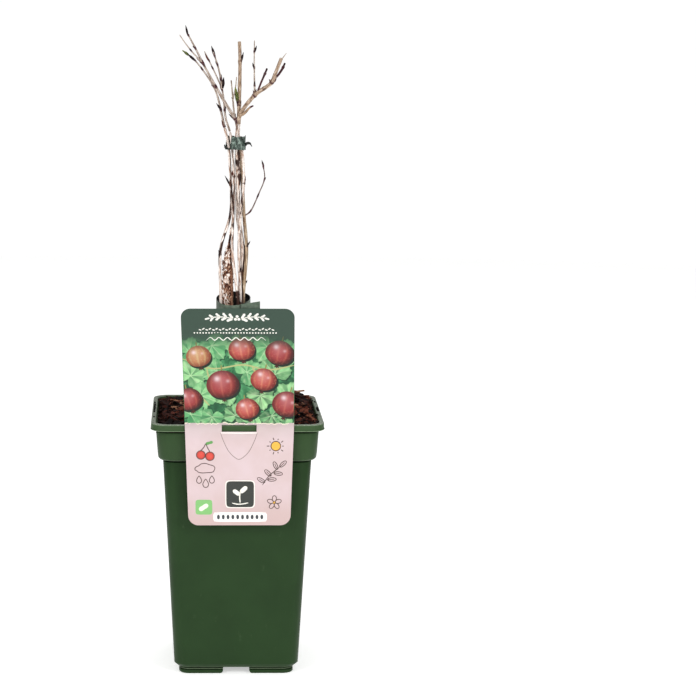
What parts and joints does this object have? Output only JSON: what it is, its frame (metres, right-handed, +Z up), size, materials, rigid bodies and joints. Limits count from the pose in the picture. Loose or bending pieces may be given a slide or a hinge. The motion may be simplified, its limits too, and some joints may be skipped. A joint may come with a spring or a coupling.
{
  "type": "leafless gooseberry bush in a square nursery pot",
  "caption": "Young bare gooseberry bush: tied upright stems and an old stump in a square nursery pot of compost, with forked budding twigs above and a bent hang label.",
  "frame": {"origin": "middle of the pot's underside, on the ground that the feet stand on", "axes": "+Z up along the stems, -Y towards the front where the label hangs, +X to the right as seen from the front"},
  "size_m": [0.13, 0.1313, 0.4912],
  "materials": {
    "pot_plastic": "satin moulded dark green",
    "compost": "loose bark compost",
    "old_bark": "rough flaking bark",
    "young_bark": "pale smooth bark",
    "bough_bark": "thin grey-tan bark",
    "twigs": "thin grey-tan bark with dark buds",
    "tie_tape": "satin tape",
    "label_card": "printed plastic card",
    "label_strap": "printed plastic strip"
  },
  "bodies": {
    "root": {"pot": "pot_plastic", "compost": "compost", "trunk": "old_bark", "stem_left": "young_bark", "stem_middle": "young_bark", "stem_main": "young_bark", "stem_crossing": "young_bark", "stem_right": "young_bark", "bough_right": "bough_bark", "bough_upright": "bough_bark", "bough_left": "bough_bark", "twigs_left_top": "twigs", "twigs_left_low": "twigs", "twigs_middle": "twigs", "twigs_upright": "twigs", "twigs_right": "twigs", "twigs_back": "twigs", "twigs_side": "twigs", "tie": "tie_tape", "label": "label_card", "label_loop": "label_strap"}
  },
  "joints": []
}
